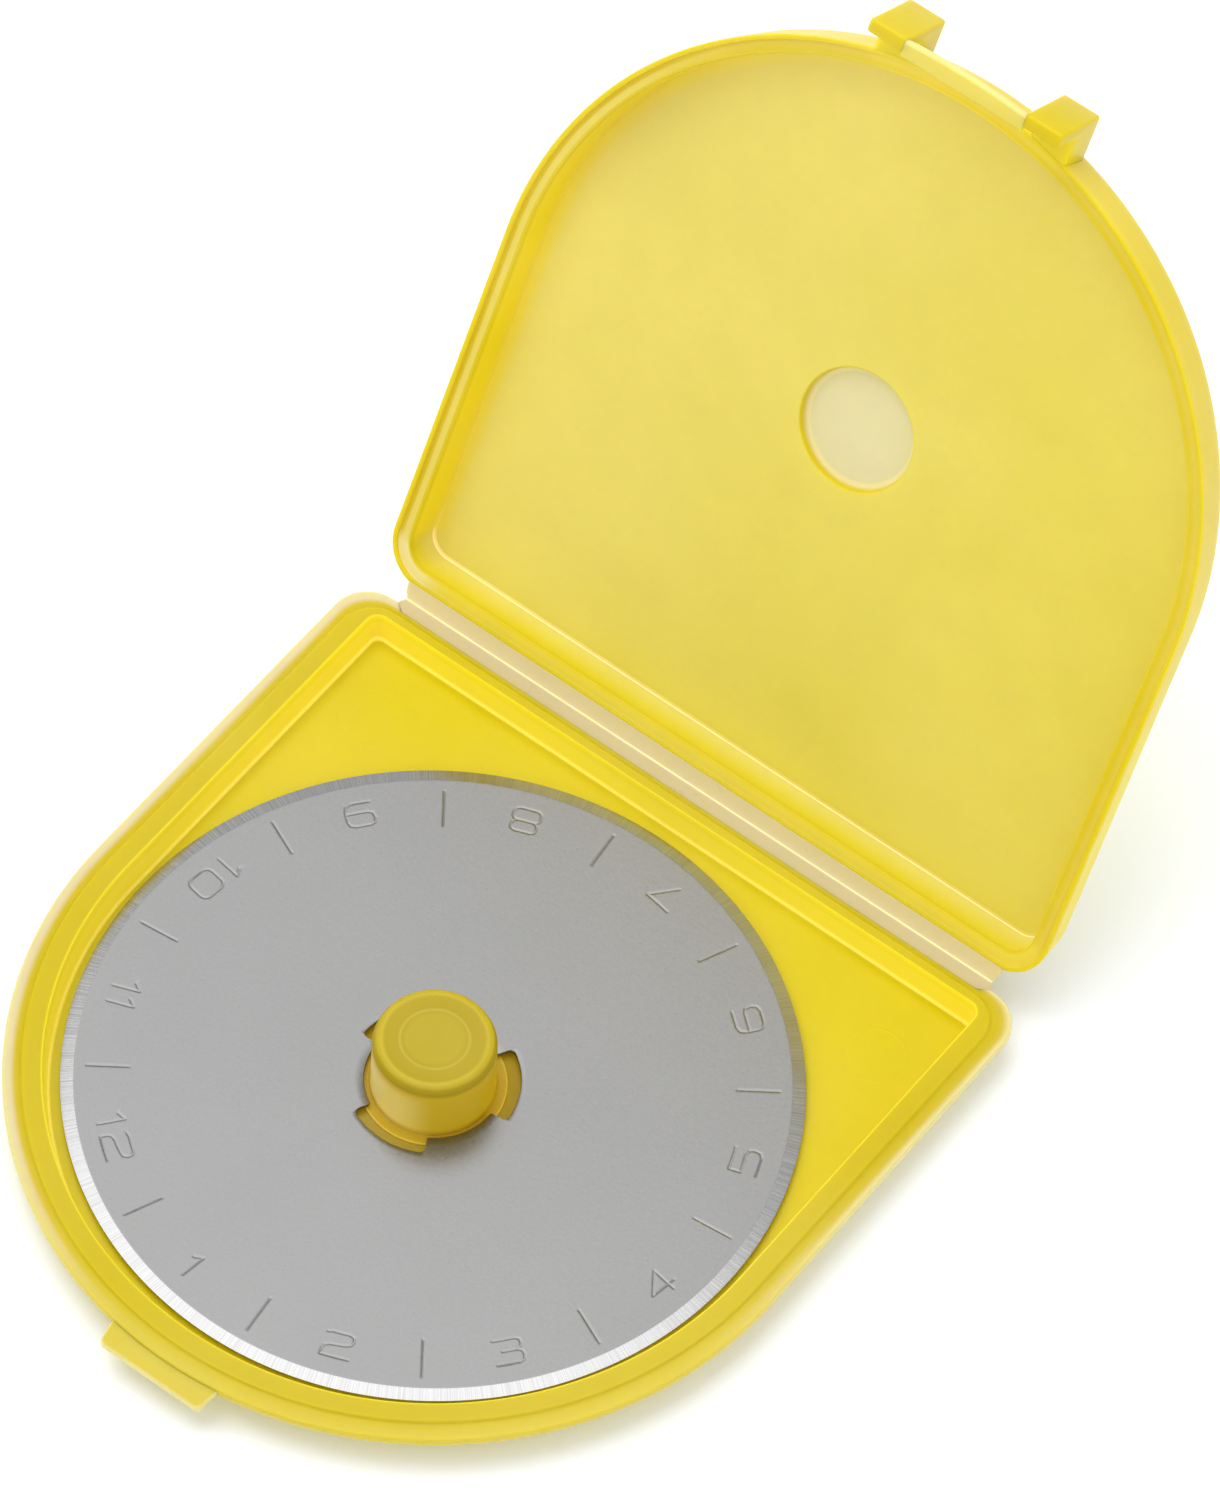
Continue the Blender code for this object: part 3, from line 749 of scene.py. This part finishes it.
# the bar's rounded outer edge: pale thin plastic, with a painted highlight line on it
BAR_EDGE_PAINTED_HIGHLIGHT = tone(222, 208, 132, 0.07)
BAR_LINE_PAINTED_HIGHLIGHT = tone(216, 200, 128, 0.07)
verts, tones = [], []
for x in np.linspace(-4.40, 4.40, 33):
    bow = 0.20 * (1.0 - (x / 4.4) ** 2)
    out = 53.13 + bow
    sec = [(51.95, 1.52, HOOK_IN_PAINTED_GLOW), (out - 0.16, 1.50, LIDPALE),
           (out - 0.05, 1.53, FLANGE), (out, 1.62, BAR_LINE_PAINTED_HIGHLIGHT), (out, 1.82, BAR_LINE_PAINTED_HIGHLIGHT),
           (out - 0.05, 1.91, BAR_EDGE_PAINTED_HIGHLIGHT), (out - 0.16, 1.95, BAR_EDGE_PAINTED_HIGHLIGHT),
           (out - 0.30, 1.95, BAR_TOP), (52.10, 1.90, BAR_TOP), (51.98, 1.82, HOOK_IN_PAINTED_GLOW)]
    verts += [(x, v, h) for v, h, _ in sec]
    tones += [c for _, _, c in sec]
bar = build("latch_bar_piece", to_lid(verts), grid((33, 10), cap_first=True, cap_last=True),
            tones, 60.0)
dress(bar, PLASTIC_THIN, "lid", "case_thin_web", "latch_bar")


# ----------------------------------------------------------------------- blade
def squircle(x0, y0, x1, y1, r, closed=True):
    pts = []
    for cx, cy, a0 in ((x1 - r, y1 - r, 0), (x0 + r, y1 - r, 90),
                       (x0 + r, y0 + r, 180), (x1 - r, y0 + r, 270)):
        for k in range(4):
            a = math.radians(a0 + 30 * k)
            pts.append((cx + r * math.cos(a), cy + r * math.sin(a)))
    return pts + [pts[0]]


GLYPHS = {
    "0": [squircle(0, 0, 1, 1, 0.26)],
    "1": [[(0.22, 0.78), (0.50, 1.0), (0.50, 0.0)]],
    "2": [[(0.02, 0.94), (0.2, 1.0), (0.80, 1.0), (0.96, 0.92), (1.0, 0.76),
           (0.94, 0.60), (0.78, 0.54), (0.22, 0.47), (0.05, 0.39), (0.0, 0.24),
           (0.0, 0.0), (1.0, 0.0)]],
    "3": [[(0.02, 1.0), (0.78, 1.0), (0.94, 0.93), (0.98, 0.77), (0.93, 0.61),
           (0.76, 0.53), (0.28, 0.53)],
          [(0.76, 0.53), (0.95, 0.45), (1.0, 0.27), (0.95, 0.08), (0.78, 0.0), (0.0, 0.0)]],
    "4": [[(0.74, 0.0), (0.74, 1.0), (0.0, 0.26), (1.0, 0.26)]],
    "5": [[(0.96, 1.0), (0.05, 1.0), (0.03, 0.56), (0.78, 0.58), (0.95, 0.50),
           (1.0, 0.30), (0.95, 0.09), (0.78, 0.0), (0.02, 0.0)]],
    "6": [[(0.92, 1.0), (0.24, 1.0), (0.06, 0.90), (0.0, 0.70), (0.0, 0.26),
           (0.06, 0.08), (0.24, 0.0), (0.78, 0.0), (0.95, 0.08), (1.0, 0.28),
           (0.95, 0.50), (0.78, 0.57), (0.02, 0.57)]],
    "7": [[(0.0, 1.0), (1.0, 1.0), (0.38, 0.0)]],
    "8": [squircle(0.04, 0.53, 0.96, 1.0, 0.19), squircle(0.0, 0.0, 1.0, 0.53, 0.21)],
    "9": [[(0.08, 0.0), (0.76, 0.0), (0.94, 0.10), (1.0, 0.30), (1.0, 0.74),
           (0.94, 0.92), (0.76, 1.0), (0.22, 1.0), (0.05, 0.92), (0.0, 0.72),
           (0.05, 0.50), (0.22, 0.43), (0.98, 0.43)]],
}
DIGIT_W, DIGIT_H, R_MID = 1.75, 1.70, 19.62
labels = []          # (centre angle, half angle, strokes in (arc mm, radius))
for hour in range(1, 13):
    text = str(hour)
    centre = math.radians(111.3 + 30.0 * (hour - 8))
    widths = [0.55 if ch == "1" else DIGIT_W for ch in text]
    gap = 0.62
    total = sum(widths) + gap * (len(text) - 1)
    at = -0.5 * total
    strokes = []
    for ch, wd in zip(text, widths):
        for line in GLYPHS[ch]:
            off = at + (0.5 * wd - 0.5 * DIGIT_W if ch == "1" else 0.0)
            strokes.append([(off + DIGIT_W * u, R_MID + DIGIT_H * (0.5 - t))
                            for u, t in line])
        at += wd + gap
    labels.append((centre, (0.5 * total + 0.35) / R_MID, strokes))
for k in range(12):
    labels.append((math.radians(126.2 - 30.0 * k), 0.26 / R_MID,
                   [[(0.0, 18.35), (0.0, 20.93)]]))

NOTCHES = (33.0, 153.0, 273.0)
BORE, NOTCH, NHALF = 4.20, 5.30, 29.5


def bore_radius(deg):
    best = BORE
    for c in NOTCHES:
        d = abs((deg - c + 180.0) % 360.0 - 180.0)
        if d < NHALF + 1.2:
            # rounded inner corner, nearly radial wall, small outer rounding
            e = NHALF - d
            if e >= 0.0:
                k = min(e / 4.0, 1.0)
                best = max(best, NOTCH - 0.42 * (1.0 - math.sqrt(1 - (1 - k) ** 2)))
            else:
                k = min(-e / 1.2, 1.0)
                best = max(best, BORE + 0.16 * (1 - k) ** 2)
    return best


angles = set(round(a, 3) for a in np.arange(0.0, 360.0, 1.5))
for c, half, _ in labels:
    d, h = math.degrees(c), math.degrees(half)
    lo, hi = d - h, d + h
    angles = {a for a in angles if not (lo - 0.4 < a + round((d - a) / 360.0) * 360.0 < hi + 0.4)}
    for a in np.linspace(lo, hi, max(int((hi - lo) / 0.155), 6)):
        angles.add(round(a % 360.0, 4))
for c in NOTCHES:
    for s in (-1, 1):
        for o in (-0.9, -0.5, -0.2, -0.04, 0.0, 0.12, 0.4, 0.9, 1.6, 2.4, 3.3):
            angles.add(round((c + s * (NHALF - o)) % 360.0, 4))
angles = sorted(angles)
keep = [angles[0]]
for a in angles[1:]:
    if a - keep[-1] > 0.035:
        keep.append(a)
theta = np.radians(np.array(keep))
bore = np.array([bore_radius(a) for a in keep])


def groove_depth(rad):
    """Depth of the stamped marks at one radius, for every column."""
    depth = np.zeros(len(theta))
    for c, half, strokes in labels:
        off = (theta - c + math.pi) % (2 * math.pi) - math.pi
        sel = np.where(np.abs(off) <= half + 1e-6)[0]
        if not len(sel):
            continue
        px = off[sel] * rad
        near = np.full(len(sel), 9.0)
        for line in strokes:
            for (ax, ay), (bx, by) in zip(line[:-1], line[1:]):
                dx, dy = bx - ax, by - ay
                t = np.clip(((px - ax) * dx + (rad - ay) * dy) / (dx * dx + dy * dy), 0, 1)
                near = np.minimum(near, np.hypot(px - ax - t * dx, rad - ay - t * dy))
        depth[sel] = np.maximum(depth[sel], np.clip(1.0 - near / 0.090, 0.0, 1.0))
    return 0.030 * depth ** 0.85


ZT, ZB = BLADE_Z + 0.30, BLADE_Z
verts, tones = [], []


def blade_row(rad, z, mask):
    rad = np.broadcast_to(rad, theta.shape)
    verts.append(np.c_[rad * np.cos(theta), rad * np.sin(theta),
                       np.broadcast_to(z, theta.shape)])
    tones.append(np.tile([mask, mask, mask, 1.0], (len(theta), 1)))


blade_row(bore, ZB + 0.04, 0.0)
blade_row(bore, ZT - 0.05, 0.0)
blade_row(bore + 0.02, ZT - 0.015, 0.0)
blade_row(bore + 0.06, ZT, 0.0)
for t in (0.25, 0.6, 1.0):
    blade_row(bore + 0.06 + (6.4 - bore - 0.06) * t, ZT, 0.0)
for rad in (9.0, 12.0, 15.0, 17.4, 18.1):
    blade_row(rad, ZT, 0.0)
for rad in np.arange(18.16, 21.10, 0.055):
    blade_row(rad, ZT - groove_depth(rad), 0.0)
for rad in (21.3, 21.62):
    blade_row(rad, ZT, 0.0)
for rad, mask in ((21.70, 0.0), (21.72, 1.0), (21.95, 1.0), (22.2, 1.0), (22.42, 1.0)):
    blade_row(rad, ZT - 0.125 * max(rad - 21.70, 0.0) / 0.80, mask)
blade_row(22.50, ZB + 0.172, 1.0)
blade_row(22.50, ZB + 0.128, 1.0)
for rad, mask in ((22.2, 1.0), (21.72, 1.0), (21.70, 0.0)):
    blade_row(rad, ZB + 0.125 * (rad - 21.70) / 0.80, mask)
for rad in (19.0, 12.0, 7.0):
    blade_row(rad, ZB, 0.0)
blade_row(bore + 0.05, ZB, 0.0)
blade = build("blade_disc", np.vstack(verts), grid((len(verts), len(theta)), close=True),
              np.vstack(tones), 32.0)
dress(blade, STEEL, "blade", "blade_steel", "rotary_blade")


# ------------------------------------------------------------- floor and light
def stage_floor():
    mesh = bpy.data.meshes.new("floor")
    s = 3.0
    mesh.from_pydata([(-s, -s, -0.00003), (s, -s, -0.00003), (s, s, -0.00003),
                      (-s, s, -0.00003)], [], [(0, 1, 2, 3)])
    obj = bpy.data.objects.new("floor", mesh)
    bpy.context.scene.collection.objects.link(obj)
    mat, tree, nodes, links, bsdf = new_material("floor_white")
    coord = nodes.new("ShaderNodeTexCoord").outputs["Object"]
    shade = ranged(nodes, links, noise(nodes, links, coord, 3.0), 0.3, 0.7, 0.970, 0.980)
    comb = nodes.new("ShaderNodeCombineColor")
    for k in range(3):
        links.new(shade, comb.inputs[k])
    cool = mixed(nodes, links, 1.0, comb.outputs[0], (0.93, 0.952, 1.0, 1.0), "MULTIPLY")
    links.new(cool, bsdf.inputs["Base Color"])
    bsdf.inputs["Roughness"].default_value = 0.9
    bsdf.inputs["Specular IOR Level"].default_value = 0.1
    bsdf.inputs["Emission Color"].default_value = (0.72, 0.82, 1.0, 1.0)
    bsdf.inputs["Emission Strength"].default_value = 0.08
    mesh.materials.append(mat)


stage_floor()


def area(name, direction, dist, size, power, colour=(1.0, 1.0, 1.0), size_y=None):
    light = bpy.data.lights.new(name, "AREA")
    light.shape = "RECTANGLE"
    light.size = size
    light.size_y = size_y or size
    light.energy = power
    light.color = colour
    obj = bpy.data.objects.new(name, light)
    d = Vector(direction).normalized()
    target = Vector((0.0, 0.012, 0.010))
    obj.location = target + d * dist
    obj.rotation_euler = (-d).to_track_quat("-Z", "Y").to_euler()
    bpy.context.scene.collection.objects.link(obj)
    return obj


# one soft box from above; a third of it only lights and does not shine in the
# steel and the gloss of the plastic
soft = area("key", (-0.27, 0.06, 0.96), 0.90, 0.84, 1.95, size_y=0.70)
soft.visible_glossy = False
area("key_shine", (-0.27, 0.06, 0.96), 0.86, 0.80, 2.8, size_y=0.67)

world = bpy.data.worlds.new("studio")
world.use_nodes = True
wt = world.node_tree
bg = wt.nodes["Background"]
# even white studio, a little dimmer behind the object
way = wt.nodes.new("ShaderNodeTexCoord")
parts = wt.nodes.new("ShaderNodeSeparateXYZ")
wt.links.new(way.outputs["Generated"], parts.inputs[0])
level = ranged(wt.nodes, wt.links, parts.outputs["Y"], 0.30, 0.75, 0.88, 0.76)
right = ranged(wt.nodes, wt.links, parts.outputs["X"], 0.25, 0.75, 0.0, 0.14)
total = wt.nodes.new("ShaderNodeMath")
total.operation = "ADD"
wt.links.new(level, total.inputs[0])
wt.links.new(right, total.inputs[1])
white = wt.nodes.new("ShaderNodeCombineColor")
for k in range(3):
    wt.links.new(total.outputs[0], white.inputs[k])
wt.links.new(white.outputs[0], bg.inputs["Color"])
bg.inputs["Strength"].default_value = 1.0
bpy.context.scene.world = world

# ---------------------------------------------------------------------- camera
cam = bpy.data.cameras.new("camera")
cam.sensor_fit = "AUTO"
cam.sensor_width = 36.0
cam.lens = 251.774
cam.clip_start = 0.01
cam.clip_end = 20.0
cam_obj = bpy.data.objects.new("camera", cam)
RX = Vector((0.7923991887, 0.6089828842, 0.0352614885))
RY = Vector((0.5196636141, -0.6436462559, -0.5618444851))
RZ = Vector((-0.31945775, 0.4635292267, -0.8264910175))
m = Matrix((RX, -RY, -RZ)).transposed().to_4x4()
m.translation = Vector((0.2002315, -0.2739983, 0.5359763))
cam_obj.matrix_world = m
bpy.context.scene.collection.objects.link(cam_obj)
bpy.context.scene.camera = cam_obj

vs = bpy.context.scene.view_settings
vs.view_transform = "Standard"
vs.look = "None"
vs.exposure = 0.0
vs.gamma = 1.0

bpy.context.view_layer.update()
